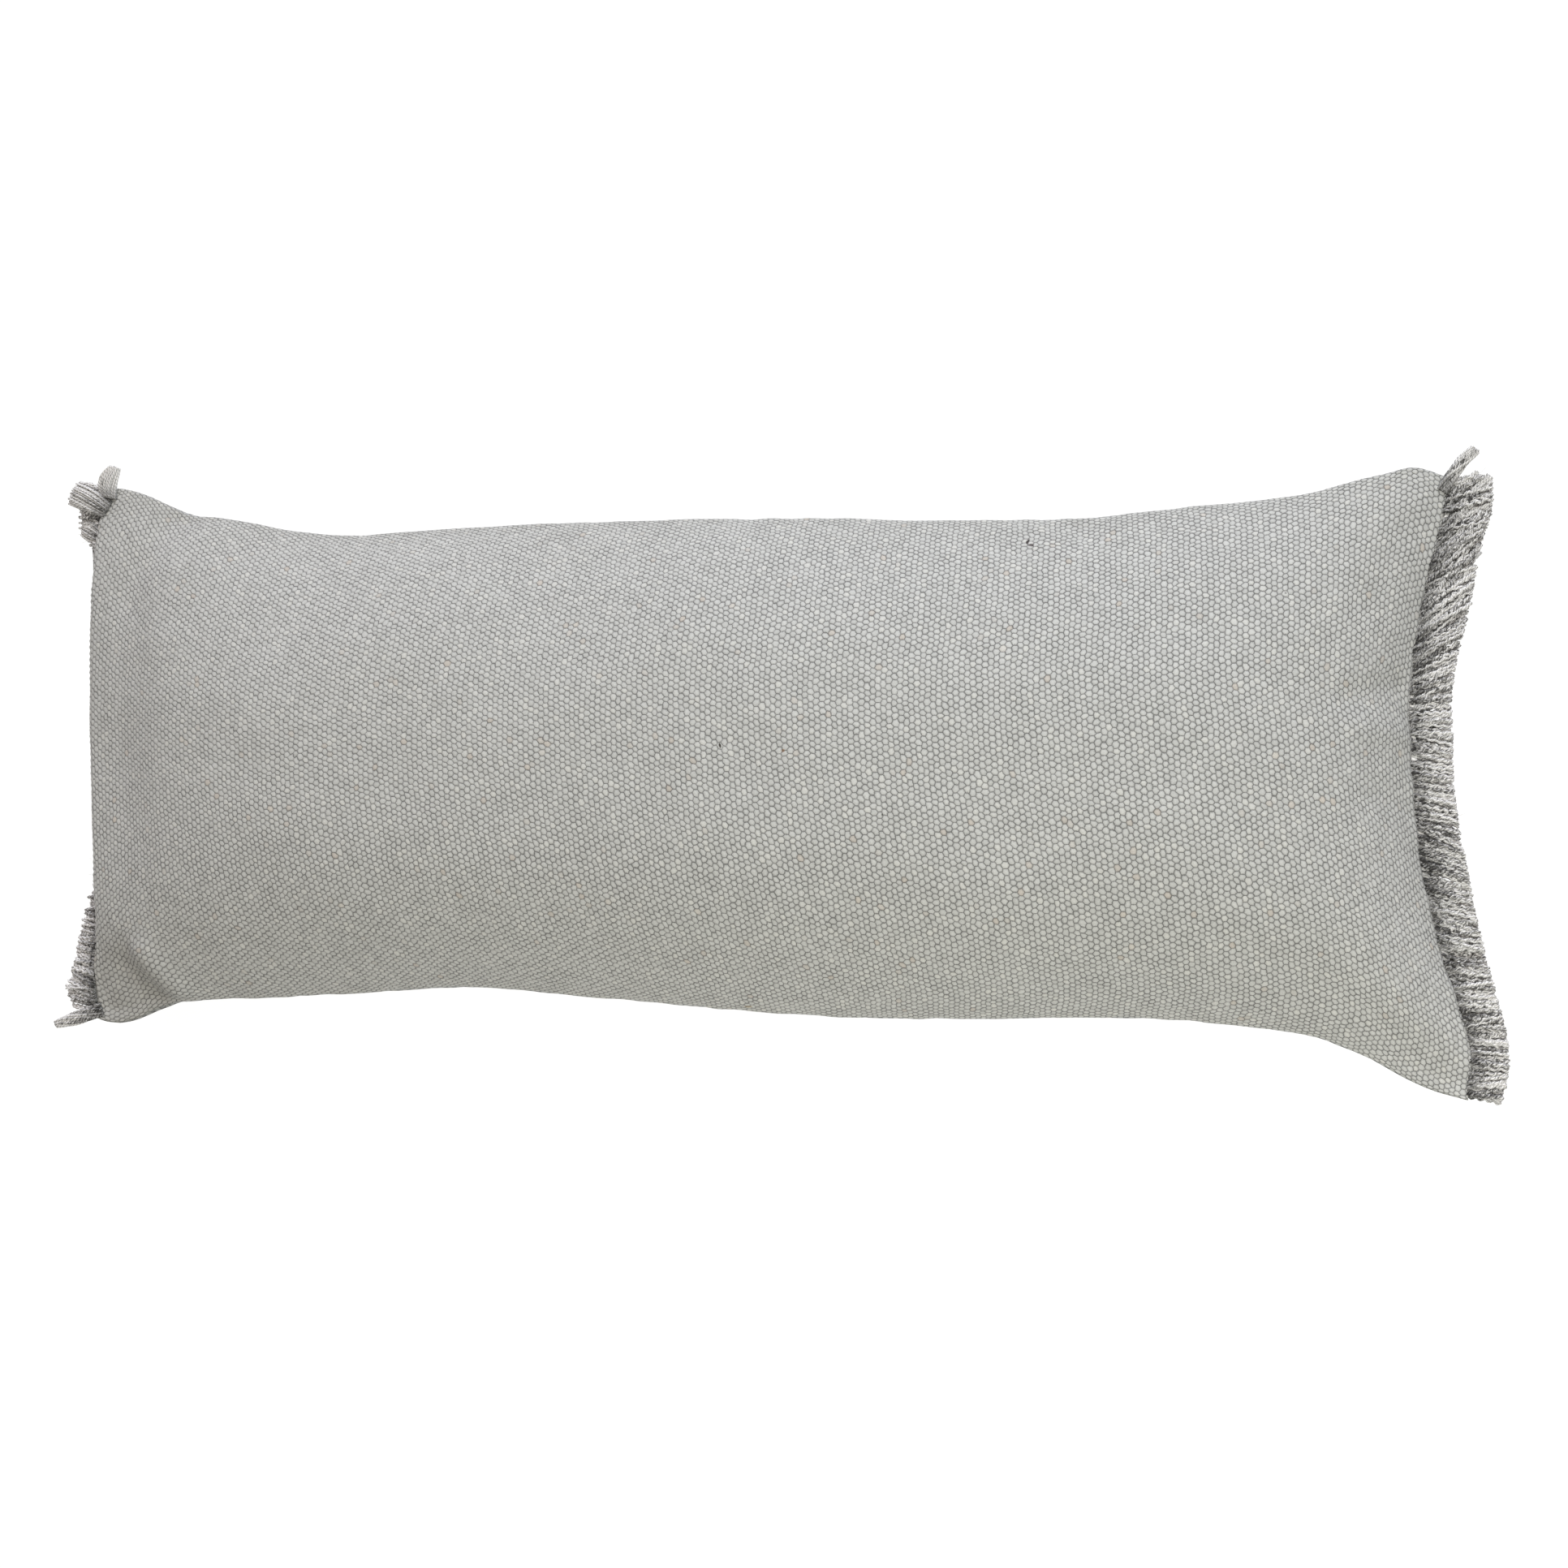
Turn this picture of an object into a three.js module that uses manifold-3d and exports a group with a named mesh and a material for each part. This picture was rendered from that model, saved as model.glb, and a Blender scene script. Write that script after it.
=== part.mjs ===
// Lumbar throw pillow, lying on its back on the surface z = 0.
// Millimetres. +X runs along the pillow, +Y across it to the upper long seam, +Z out of the front face.
// Three pieces: the filled cushion, and a fringe of yarn let into each of the two short seams.

import * as THREE from 'three';
import { mergeVertices } from 'three/addons/utils/BufferGeometryUtils.js';
import Module from 'manifold-3d';

const wasm = await Module();
wasm.setup();

// Driving dimensions of the filled cushion
const SEAM_HEIGHT = 62;      // the seam loop, above the surface
const SEAM_BAND = 2.4;       // two turned-in layers of cloth at the seam
const BACK_SHARE = 1.12;     // depth of the back panel against the front one, if nothing pressed it flat
const END_BULGE = 12.5;      // how far the left end's cloth swells past its drawn-in seam
const BULGE_REACH = 0.022;   // where along the pillow that swelling is widest, from the seam

// How the crown falls towards the long seams: (1 - |place| ^ fullness) ^ fall, its belly sagging low
const ACROSS = { fullness: 2.8, fall: 1.05, sag: -0.08 };

// Stations along the pillow. at: place from -1 to 1. upper, lower: the long seams' y.
// crown: height of the front panel's middle above the seam.
const LENGTHWISE = [
  { at: -1.00, upper: 181, lower: -178, crown: 0 },
  { at: -0.985, upper: 181, lower: -180, crown: 9 },
  { at: -0.96, upper: 179, lower: -180, crown: 15.5 },
  { at: -0.93, upper: 174.5, lower: -176, crown: 22 },
  { at: -0.90, upper: 169, lower: -169.5, crown: 29.5 },
  { at: -0.86, upper: 162.5, lower: -164, crown: 38.5 },
  { at: -0.80, upper: 160, lower: -161, crown: 45.5 },
  { at: -0.70, upper: 152.5, lower: -157.5, crown: 52.5 },
  { at: -0.60, upper: 149, lower: -153.5, crown: 57 },
  { at: -0.40, upper: 154, lower: -145, crown: 59 },
  { at: -0.20, upper: 158, lower: -148, crown: 60 },
  { at: 0.10, upper: 160, lower: -152, crown: 65 },
  { at: 0.30, upper: 159, lower: -150, crown: 64 },
  { at: 0.50, upper: 160, lower: -145, crown: 62.5 },
  { at: 0.65, upper: 167, lower: -144, crown: 64 },
  { at: 0.80, upper: 174, lower: -150, crown: 53 },
  { at: 0.87, upper: 181.5, lower: -160, crown: 42 },
  { at: 0.92, upper: 187, lower: -171, crown: 31 },
  { at: 0.96, upper: 190.5, lower: -178, crown: 17 },
  { at: 1.00, upper: 184, lower: -182, crown: 0 },
];

// Stations across the pillow. left, right: x of the two short seams, drawn in between their corners.
const CROSSWISE = [
  { at: -1.0, left: -430, right: 444 },
  { at: -0.85, left: -435, right: 445 },
  { at: -0.65, left: -433, right: 434.5 },
  { at: -0.4, left: -431, right: 421.5 },
  { at: -0.15, left: -434, right: 413.5 },
  { at: 0.1, left: -438, right: 409 },
  { at: 0.3, left: -441.5, right: 407.5 },
  { at: 0.5, left: -446, right: 411.5 },
  { at: 0.7, left: -450, right: 418 },
  { at: 0.85, left: -451.5, right: 424 },
  { at: 1.0, left: -442, right: 427 },
];

// Mesh density
const COLUMNS = 56;
const ROWS = 26;
const CROWDING = 0.55;       // how much the stations crowd towards the seams

// Fringe
const SEAM_GAP = 0.4;        // clearance between the seam and the strip that holds the yarn
const STRIP_WIDTH = 4;
const STRIP_THICKNESS = 2.4;
const STRIP_STEPS = 40;
const ROOT_DEPTH = 1.4;      // how far a lock's root reaches into the strip
const LOCK_LENGTH = 21;
const LOCK_WIDTH = 2.6;
const TIP_SHARE = 0.55;      // width of a lock's tip, against its root
const LAYER_RISE = 6;        // degrees by which the locks of the two layers part
const LENGTH_SPREAD = 0.14;
const LEAN_SPREAD = 3;
const BEND_SHARE = 0.5;      // the place along a lock where it bends
const ROOT_DROOP = 0.7;      // share of the droop before the bend
const TIP_DROOP = 1.3;       // and after it
const END_MARGIN = 0.975;    // share of the seam that the even locks fill; the corner locks take the rest

const FRINGES = [
  { name: 'fringe_left', outward: -1, locks: 112 },
  { name: 'fringe_right', outward: 1, locks: 116 },
];

// How the yarn lies along each short seam, in degrees. lean: towards +Y. droop: below the seam's level.
const FRINGE_LIE = {
  fringe_left: [
    { at: -1.0, lean: -16, droop: 4 },
    { at: -0.8, lean: -4, droop: 14 },
    { at: -0.5, lean: 0, droop: 50 },
    { at: 0.5, lean: 4, droop: 50 },
    { at: 0.8, lean: 12, droop: 20 },
    { at: 1.0, lean: 22, droop: 2 },
  ],
  fringe_right: [
    { at: -1.0, lean: -4, droop: 4 },
    { at: -0.6, lean: 4, droop: 8 },
    { at: 0.0, lean: 14, droop: 8 },
    { at: 0.5, lean: 32, droop: 8 },
    { at: 1.0, lean: 30, droop: 4 },
  ],
};

// Locks that stand off by themselves at the corners. at: place across the pillow, -1 to 1.
const CORNER_LOCKS = [
  { fringe: 'fringe_right', at: 0.992, lean: 58, droop: -6, length: 27, width: 4.2 },
  { fringe: 'fringe_left', at: 0.985, lean: 84, droop: -8, length: 20, width: 6.0 },
  { fringe: 'fringe_left', at: -0.99, lean: -14, droop: 2, length: 27, width: 5.0 },
];

const CLOTH = new THREE.MeshStandardMaterial({ color: 0xb3b2ac, roughness: 0.95, metalness: 0 });
const YARN = new THREE.MeshStandardMaterial({ color: 0xa9a8a5, roughness: 0.95, metalness: 0 });

// A smooth line through a table's rows, by the slopes of their neighbours
function through(rows, column, at) {
  const last = rows.length - 1;
  let i = 0;
  while (i < last - 1 && at > rows[i + 1].at) i += 1;
  const slope = (k) => {
    const before = rows[Math.max(k - 1, 0)];
    const after = rows[Math.min(k + 1, last)];
    return (after[column] - before[column]) / (after.at - before.at);
  };
  const span = rows[i + 1].at - rows[i].at;
  const t = (at - rows[i].at) / span;
  const rise = rows[i + 1][column] - rows[i][column];
  const a = slope(i) * span - rise;
  const b = rise - slope(i + 1) * span;
  return rows[i][column] + t * rise + t * (1 - t) * (a * (1 - t) + b * t);
}

// Height of the front panel above the seam, at a place along and across the pillow
function crown(along, across) {
  const place = across - ACROSS.sag * (1 - across ** 2);
  const share = Math.max(1 - Math.abs(place) ** ACROSS.fullness, 0) ** ACROSS.fall;
  return through(LENGTHWISE, 'crown', along) * share;
}

function onPlan(along, across) {
  const left = through(CROSSWISE, 'left', across);
  const right = through(CROSSWISE, 'right', across);
  const lower = through(LENGTHWISE, 'lower', along);
  const upper = through(LENGTHWISE, 'upper', along);
  const inward = (along + 1) / BULGE_REACH;
  const swell = END_BULGE * inward * Math.exp(1 - inward) * (1 - across ** 2);
  const x = left + (right - left) * (along + 1) / 2 - swell;
  const y = lower + (upper - lower) * (across + 1) / 2;
  return [x, y];
}

// Stations from -1 to 1 that crowd towards both ends
function stations(count) {
  return Array.from({ length: count + 1 }, (_, i) => {
    const even = 2 * i / count - 1;
    return (1 - CROWDING) * even + CROWDING * Math.sin(even * Math.PI / 2);
  });
}

function closedGeometry(positions, triangles) {
  const geometry = new THREE.BufferGeometry();
  geometry.setAttribute('position', new THREE.Float32BufferAttribute(positions, 3));
  geometry.setIndex(triangles);
  return geometry;
}

// The filled cushion: a front and a back panel that meet in a thin band at the seam
function cushionGeometry() {
  const alongs = stations(COLUMNS);
  const acrosses = stations(ROWS);
  const positions = [];
  const triangles = [];
  const frontZ = (height) => SEAM_HEIGHT + SEAM_BAND / 2 + height;
  const backZ = (height) => Math.max(SEAM_HEIGHT - SEAM_BAND / 2 - BACK_SHARE * height, 0);
  for (const level of [frontZ, backZ]) {
    for (const along of alongs) {
      for (const across of acrosses) {
        positions.push(...onPlan(along, across), level(crown(along, across)));
      }
    }
  }
  const panelSize = (COLUMNS + 1) * (ROWS + 1);
  const front = (i, j) => i * (ROWS + 1) + j;
  const back = (i, j) => panelSize + front(i, j);
  for (let i = 0; i < COLUMNS; i += 1) {
    for (let j = 0; j < ROWS; j += 1) {
      triangles.push(front(i, j), front(i + 1, j), front(i + 1, j + 1));
      triangles.push(front(i, j), front(i + 1, j + 1), front(i, j + 1));
      triangles.push(back(i, j), back(i + 1, j + 1), back(i + 1, j));
      triangles.push(back(i, j), back(i, j + 1), back(i + 1, j + 1));
    }
  }
  const rim = [];
  for (let i = 0; i < COLUMNS; i += 1) rim.push([i, 0]);
  for (let j = 0; j < ROWS; j += 1) rim.push([COLUMNS, j]);
  for (let i = COLUMNS; i > 0; i -= 1) rim.push([i, ROWS]);
  for (let j = ROWS; j > 0; j -= 1) rim.push([0, j]);
  rim.forEach(([i, j], k) => {
    const [m, n] = rim[(k + 1) % rim.length];
    triangles.push(back(i, j), back(m, n), front(m, n));
    triangles.push(back(i, j), front(m, n), front(i, j));
  });
  return closedGeometry(positions, triangles);
}

// A closed skin over rings of points, each ring listed anticlockwise as seen from the last ring
function skinOver(rings) {
  const sides = rings[0].length;
  const positions = rings.flat().flatMap((point) => point.toArray());
  const triangles = [];
  for (let r = 0; r < rings.length - 1; r += 1) {
    for (let s = 0; s < sides; s += 1) {
      const here = r * sides + s;
      const beside = r * sides + (s + 1) % sides;
      triangles.push(here, beside, beside + sides, here, beside + sides, here + sides);
    }
  }
  const end = (rings.length - 1) * sides;
  for (let s = 1; s < sides - 1; s += 1) {
    triangles.push(0, s + 1, s);
    triangles.push(end, end + s, end + s + 1);
  }
  return closedGeometry(positions, triangles);
}

function toSolid(geometry) {
  const merged = mergeVertices(geometry);
  return new wasm.Manifold(new wasm.Mesh({
    numProp: 3,
    vertProperties: new Float32Array(merged.attributes.position.array),
    triVerts: new Uint32Array(merged.index.array),
  }));
}

function fromSolid(solid) {
  const mesh = solid.getMesh();
  return closedGeometry(Array.from(mesh.vertProperties), Array.from(mesh.triVerts));
}

// A repeatable spread of values between -1 and 1
function scatter(index, stream) {
  const value = Math.sin(index * 12.9898 + stream * 78.233) * 43758.5453;
  return 2 * (value - Math.floor(value)) - 1;
}

function seamPoint(fringe, at) {
  const along = fringe.outward;
  const [x, y] = onPlan(along, at);
  return new THREE.Vector3(x, y, SEAM_HEIGHT);
}

// The narrow strip that the yarn is fixed to, just outside the seam
function stripGeometry(fringe) {
  const rings = [];
  for (let k = 0; k <= STRIP_STEPS; k += 1) {
    const seam = seamPoint(fringe, 2 * k / STRIP_STEPS - 1);
    const inner = seam.x + fringe.outward * SEAM_GAP;
    const outer = inner + fringe.outward * STRIP_WIDTH;
    const low = SEAM_HEIGHT - STRIP_THICKNESS / 2;
    const high = SEAM_HEIGHT + STRIP_THICKNESS / 2;
    const ring = [[inner, low], [inner, high], [outer, high], [outer, low]];
    if (fringe.outward < 0) ring.reverse();
    rings.push(ring.map(([x, z]) => new THREE.Vector3(x, seam.y, z)));
  }
  return skinOver(rings);
}

// One lock of yarn: three-sided, thinner at its tip, and bent part of the way out
function lockGeometry(fringe, { at, lean, droop, length, width }) {
  const root = seamPoint(fringe, at);
  root.x += fringe.outward * (SEAM_GAP + STRIP_WIDTH - ROOT_DEPTH);
  const direction = (dip) => {
    const leanAngle = THREE.MathUtils.degToRad(lean);
    const dipAngle = THREE.MathUtils.degToRad(dip);
    return new THREE.Vector3(
      fringe.outward * Math.cos(leanAngle) * Math.cos(dipAngle),
      Math.sin(leanAngle) * Math.cos(dipAngle),
      -Math.sin(dipAngle),
    );
  };
  const first = direction(droop * ROOT_DROOP);
  const second = direction(droop * TIP_DROOP);
  const bend = root.clone().addScaledVector(first, length * BEND_SHARE);
  const tip = bend.clone().addScaledVector(second, length * (1 - BEND_SHARE));
  const side = new THREE.Vector3(0, 0, 1).cross(first).normalize();
  const up = new THREE.Vector3().crossVectors(first, side);
  const section = (centre, radius) => [0, 1, 2].map((corner) => {
    const angle = Math.PI / 2 + corner * 2 * Math.PI / 3;
    return centre.clone()
      .addScaledVector(side, radius * Math.cos(angle))
      .addScaledVector(up, radius * Math.sin(angle));
  });
  const radius = width / 2;
  const bendRadius = radius * (1 + TIP_SHARE) / 2;
  return skinOver([section(root, radius), section(bend, bendRadius), section(tip, radius * TIP_SHARE)]);
}

function locksOf(fringe) {
  const locks = CORNER_LOCKS.filter((lock) => lock.fringe === fringe.name);
  const lie = FRINGE_LIE[fringe.name];
  for (let k = 0; k < fringe.locks; k += 1) {
    const at = END_MARGIN * (2 * (k + 0.5) / fringe.locks - 1);
    locks.push({
      at,
      lean: through(lie, 'lean', at) + LEAN_SPREAD * scatter(k, 1),
      droop: through(lie, 'droop', at) + (k % 2 === 0 ? LAYER_RISE : -LAYER_RISE),
      length: LOCK_LENGTH * (1 + LENGTH_SPREAD * scatter(k, 2)),
      width: LOCK_WIDTH,
    });
  }
  return locks;
}

function fringeGeometry(fringe) {
  const pieces = [stripGeometry(fringe), ...locksOf(fringe).map((lock) => lockGeometry(fringe, lock))];
  return fromSolid(wasm.Manifold.union(pieces.map(toSolid)));
}

function named(name, geometry, material) {
  geometry.computeVertexNormals();
  const mesh = new THREE.Mesh(geometry, material);
  mesh.name = name;
  return mesh;
}

const pillow = new THREE.Group();
pillow.add(named('cushion', cushionGeometry(), CLOTH));
for (const fringe of FRINGES) pillow.add(named(fringe.name, fringeGeometry(fringe), YARN));

// The origin is under the middle of the whole pillow
const middle = new THREE.Box3().setFromObject(pillow).getCenter(new THREE.Vector3());
pillow.position.set(-middle.x, -middle.y, 0);

export default pillow;
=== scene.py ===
"""Lumbar throw pillow in coarse grey cotton, with a yarn fringe along each end, lying on its back."""
import math

import bpy
import numpy as np
from mathutils import Matrix, Vector


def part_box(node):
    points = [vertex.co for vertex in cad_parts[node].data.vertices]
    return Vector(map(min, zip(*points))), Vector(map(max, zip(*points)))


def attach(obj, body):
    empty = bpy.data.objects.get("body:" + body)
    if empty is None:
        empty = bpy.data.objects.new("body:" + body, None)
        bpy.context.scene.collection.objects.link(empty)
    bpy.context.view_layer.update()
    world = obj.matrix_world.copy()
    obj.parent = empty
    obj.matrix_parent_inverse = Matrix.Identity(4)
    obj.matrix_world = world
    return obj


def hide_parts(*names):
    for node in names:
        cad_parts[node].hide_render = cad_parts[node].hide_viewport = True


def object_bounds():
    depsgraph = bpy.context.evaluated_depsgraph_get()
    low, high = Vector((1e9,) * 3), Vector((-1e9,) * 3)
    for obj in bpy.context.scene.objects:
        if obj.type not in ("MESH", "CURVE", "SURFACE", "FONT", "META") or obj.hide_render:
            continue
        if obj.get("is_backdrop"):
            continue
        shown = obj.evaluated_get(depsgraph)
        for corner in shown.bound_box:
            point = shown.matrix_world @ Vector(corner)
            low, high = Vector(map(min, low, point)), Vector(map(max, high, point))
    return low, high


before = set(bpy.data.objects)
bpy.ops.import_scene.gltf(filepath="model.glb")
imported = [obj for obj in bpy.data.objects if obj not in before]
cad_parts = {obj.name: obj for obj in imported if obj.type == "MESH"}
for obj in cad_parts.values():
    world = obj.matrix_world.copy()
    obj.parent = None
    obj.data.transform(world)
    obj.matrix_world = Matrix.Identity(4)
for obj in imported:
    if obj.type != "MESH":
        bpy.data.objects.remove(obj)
cad_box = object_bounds()

MM = 0.001


def named(names, rows):
    """A list of records, each with its values under their names."""
    return [dict(zip(names, row)) for row in rows]


# All lengths are in millimetres and all angles in degrees, up to where a mesh, lamp or camera is made.

# Camera. Yaw moves it round towards the right end, and pitch towards the upper long seam.
VIEW = {"aim": (34.78, -19.65, 62.0), "yaw": 11.035, "pitch": -3.385, "roll": 2.19, "distance": 1182.0}
LENS = 43.16
SENSOR = 36.0

# Light: two wide soft lamps far off in the sky, and two softboxes near the pillow. turn: from +X to +Y.
SKY_LAMPS = named(("turn", "height", "colour"), [
    (90, 80, (1.67, 1.53, 1.35)),
    (90, 15, (3.48, 3.57, 3.90)),
])
LAMP_FOCUS = 6.0
SKY_FILL = 0.05
SOFTBOXES = named(("name", "place", "power", "colour"), [
    ("upper_softbox", (350, 500, 850), 1.6, (0.845, 0.997, 1.0)),
    ("lower_softbox", (350, -750, 700), 4.35, (0.967, 1.0, 0.916)),
])
SOFTBOX_TARGET = (50, -10, 90)
SOFTBOX_SIZE = (450, 350)
FLOOR_SIZE = 8000.0
FLOOR_DROP = 0.2          # the floor lies this far below the resting face
FLOOR_GLOW = 0.93

# Colours, linear
CLOTH_DARK = (0.462, 0.460, 0.450, 1)
CLOTH_LIGHT = (0.523, 0.521, 0.511, 1)
CREAM = (0.622, 0.604, 0.556, 1)
RUST = (0.48, 0.36, 0.26, 1)
YARN_DARK = (0.066, 0.062, 0.062, 1)
YARN_PALE = (0.865, 0.848, 0.845, 1)
FLOOR_TONES = (0.15, 0.15, 0.15, 1), (0.17, 0.17, 0.17, 1)
FLOOR_LIGHT = (1.0, 1.0, 0.99, 1)

# Finishes, by the shader's own names, and the depth of each fine relief
CLOTH_FINISH = {"Roughness": 0.95, "Specular IOR Level": 0.15, "Sheen Weight": 0.1, "Sheen Roughness": 0.6}
YARN_FINISH = {"Roughness": 0.9, "Specular IOR Level": 0.2, "Sheen Weight": 0.15}
FLOOR_FINISH = {"Roughness": 0.9, "Specular IOR Level": 0.0, "Emission Color": FLOOR_LIGHT,
                "Emission Strength": FLOOR_GLOW}
CLOTH_RELIEF = 0.28
YARN_RELIEF = 0.35
SWAY = (0.9, 1.6, 0.0)    # columns and rows by which the bumps' middles wander
SWAY_FINENESS = 0.3
CLOSED_WIDTH = 0.2
CLOSED_ROWS = (10.0, 110.0, -0.8)             # from the first row to the second, the closed sides change over
CLOSED_COLUMNS = (40.0, 230.0, 1.0, 0.0)      # from the first column to the second, none is closed any more
BUMP_SIZE = {"luck": 0.14, "fibres": 0.7, "start": -0.42}
CLOTH_HEIGHTS = {"bump": 0.6, "shoulder": 0.6, "fibres": 0.3}
HEATHER = {"tip": 0.13, "tone": 0.24, "dark": 0.505, "pale": 0.79}
FLECKS = {"pitch": 24, "size": (0.016, 0.034), "rarity": 0.6, "strength": 0.75,
          "colour": (0.05, 0.045, 0.04, 1)}
TWIST_LENGTH = 4.6
YARN_GRAIN = (2.2, 0.22, 37.0)      # the streaks' fineness round a yarn, along it and from yarn to yarn
STREAK_RISE = 0.5

# Cloudy patterns, and the shades of cloth and yarn. A shade's numbers: where it starts and ends over a draw,
# pattern or height, and its strength there.
FIBRES = {"scale": 1.7, "detail": 3.0, "roughness": 0.65}
BLOTCHES = {"scale": 0.055, "detail": 3.0, "roughness": 0.6}
STREAKS = {"scale": 1.6, "detail": 3.0, "roughness": 0.7}
FLOOR_CLOUDS = {"scale": 1.5}
SHADES = {
    "cream": (0.86, 1.0, 0.0, 0.25),
    "rust": (0.985, 1.0, 0.0, 0.3),
    "fibres": (0.25, 0.75, 0.89, 1.10),
    "blotches": (0.2, 0.8, 0.98, 1.02),
    # painted highlight on a bump's middle and painted shade at its rim
    "bump": (0.2, 1.3, 0.93, 1.09),
    # painted shade in the crevices between the bumps
    "painted_crevice_shade": (0.0, 0.5, 0.37, 1.0),
    # painted shade in the grooves between a yarn's two plies
    "ply": (0.05, 0.5, 0.5, 1.0),
    # painted shade: darker towards a yarn's root, where it lies in shadow by the seam
    "tip": (0.0, 0.55, 0.5, 1.02),
}

# Single odd spots of the cloth, and one wide soft patch of painted shade over the lower left corner.
# place: millimetres of cloth from the panel's middle. stretch: 1 / radii.
SPECKS_AND_PAINTED_SHADE = named(("place", "stretch", "colour", "strength"), [
    ((205, 152), (1.1, 0.33), (0.08, 0.065, 0.065, 1), 1.0),
    ((207, 148.5), (0.5, 0.7), (0.10, 0.08, 0.08, 1), 0.9),
    ((20.5, 8), (1.1, 0.6), (0.05, 0.045, 0.04, 1), 1.0),
    ((60, 6), (0.9, 1.0), (0.36, 0.22, 0.13, 1), 0.8),
    # painted shade: a wide soft patch, a little browner, that darkens the lower left corner
    ((-434, -154), (0.021, 0.022), (0.20, 0.185, 0.155, 1), 0.32),
    ((7, -170.5), (0.30, 0.7), (0.42, 0.35, 0.25, 1), 0.8),
])
SPECK_AND_SHADE_EDGE = (0.5, 1.2)   # a spot fades out between these shares of its radii

# The filled cushion's form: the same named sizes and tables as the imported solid
SEAM_HEIGHT = 62.0
SEAM_BAND = 2.4           # the two panels are this far apart at the seam
BACK_SHARE = 1.12         # the back's crown, before it meets the surface, against the front's
END_BULGE = 12.5          # the swelling over the left short seam, and the share of the length it takes
BULGE_REACH = 0.022
FULLNESS = 2.8            # the crown across: how full it is, how it falls, and how low its ridge lies
FALL = 1.05
SAG = -0.08
AT, UPPER, LOWER, CROWN = range(4)
LENGTHWISE = np.array([
    (-1.00, 181, -178, 0),
    (-0.985, 181, -180, 9),
    (-0.96, 179, -180, 15.5),
    (-0.93, 174.5, -176, 22),
    (-0.90, 169, -169.5, 29.5),
    (-0.86, 162.5, -164, 38.5),
    (-0.80, 160, -161, 45.5),
    (-0.70, 152.5, -157.5, 52.5),
    (-0.60, 149, -153.5, 57),
    (-0.40, 154, -145, 59),
    (-0.20, 158, -148, 60),
    (0.10, 160, -152, 65),
    (0.30, 159, -150, 64),
    (0.50, 160, -145, 62.5),
    (0.65, 167, -144, 64),
    (0.80, 174, -150, 53),
    (0.87, 181.5, -160, 42),
    (0.92, 187, -171, 31),
    (0.96, 190.5, -178, 17),
    (1.00, 184, -182, 0),
])
LEFT, RIGHT = 1, 2
CROSSWISE = np.array([
    (-1.0, -430, 444),
    (-0.85, -435, 445),
    (-0.65, -433, 434.5),
    (-0.4, -431, 421.5),
    (-0.15, -434, 413.5),
    (0.1, -438, 409),
    (0.3, -441.5, 407.5),
    (0.5, -446, 411.5),
    (0.7, -450, 418),
    (0.85, -451.5, 424),
    (1.0, -442, 427),
])

# The cloth: yarn columns and rows on one panel, and their pitch on the flat cover
COLUMNS = 270
ROWS = 182
COLUMN_PITCH = 3.385
ROW_PITCH = 1.956
BUMP_RISE = 0.28          # a bump's middle above the cloth's mean face
BUMP_LUCK = (0.7, 1.3)    # one bump's height against another's
DIP_SHARE = -0.8          # the weave's hollows, against its bumps
RELIEF_START = 2          # yarns from the seam over which the weave's relief comes in
WANDER = 0.16             # how far a yarn strays from its even place, and a single bump beside that
JITTER = 0.09
WANDER_PITCH = 5
WANDERERS = [{"seed": 31, "share": 0.8}, {"seed": 32, "share": 1.4}]      # the columns, and the rows
CLOTH_SEED = 5
GROOVE_DEPTH = 1.6        # how far the seam is pulled in between the two panels
GROOVE_COLUMNS = 0.7      # the weave goes on into the groove for this many columns, or for one row
LANDING = 9.0             # the back panel curves onto the surface over this height
BACK_STEP = 2             # the unseen back panel has a point at every second yarn
EVENING_ROUNDS = 5
FORM_STEPS = 400          # points each way for measuring the even form
BAKE_MARGIN = 0.01
TINY = 1e-9
UPRIGHT = 1e-3            # a tube that runs less level than this counts as upright

# The cloth is pulled askew: this far from the middle its columns start to lean, to the left above and, at the
# left end, to the right below. bend: how fast they turn. turnover: how far left the lower lean is whole.
# right_share: the opposite lean at the lower right. end_power: how late it fades towards the ends.
ASKEW = {"from": 70.0, "bend": 0.0011, "turnover": 300, "right_share": 0.6, "end_power": 6}

# The cloth is bunched along the long seams and the right short seam. most: how many yarns it is drawn to the
# seam. over, fade: yarns over which that starts and dies away.
BUNCHED = {
    "columns": {"most": 2.5, "over": 14, "fade": 150},
    "rows": {"most": 4.2, "over": 8, "fade": 60},
}

# Creases. Places are millimetres of cloth from the panel's middle. A depth below nought is a ridge.
CREASES = named(("start", "end", "width", "depth"), [
    ((-423, -144), (-399, -184), 13, 4.0),
    ((-405, -138), (-384, -182), 10.5, -5.4),
    ((-454, -130), (-444, -190), 27, 4.0),
    ((-340, -120), (-330, -176), 18, -1.2),
    ((-393, 182), (-414, 104), 13, 2.0),
    ((-366, 182), (-380, 130), 18, -1.2),
    ((436, 140), (418, 96), 13, 1.8),
    ((446, 52), (404, 40), 9, 2.4),
    ((448, 26), (410, 22), 9, -1.8),
    ((448, -14), (415, -16), 10, 1.2),
    ((234, 184), (234, 164), 12, 2.2),
    ((325, -118), (436, -172), 15, 2.6),
])
CREASE_RIM = {"reach": 8, "share": 0.35}      # near a seam a crease is shallower, down to this share

# The filling's soft bumps, which die away towards the seams, and the fine gathers at the seams
FILLING = named(("pitch", "height", "seed"), [
    (95, 2.2, 3),
    (42, 0.8, 8),
    (19, 0.22, 11),
])
FILLING_REACH = 25
GATHER = {"pitch": 13, "height": 0.9, "reach": 11, "seed": 21}
BACK_SEED_SHIFT = 50
NOISE_CELLS = 256
NOISE_START = 100


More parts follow.
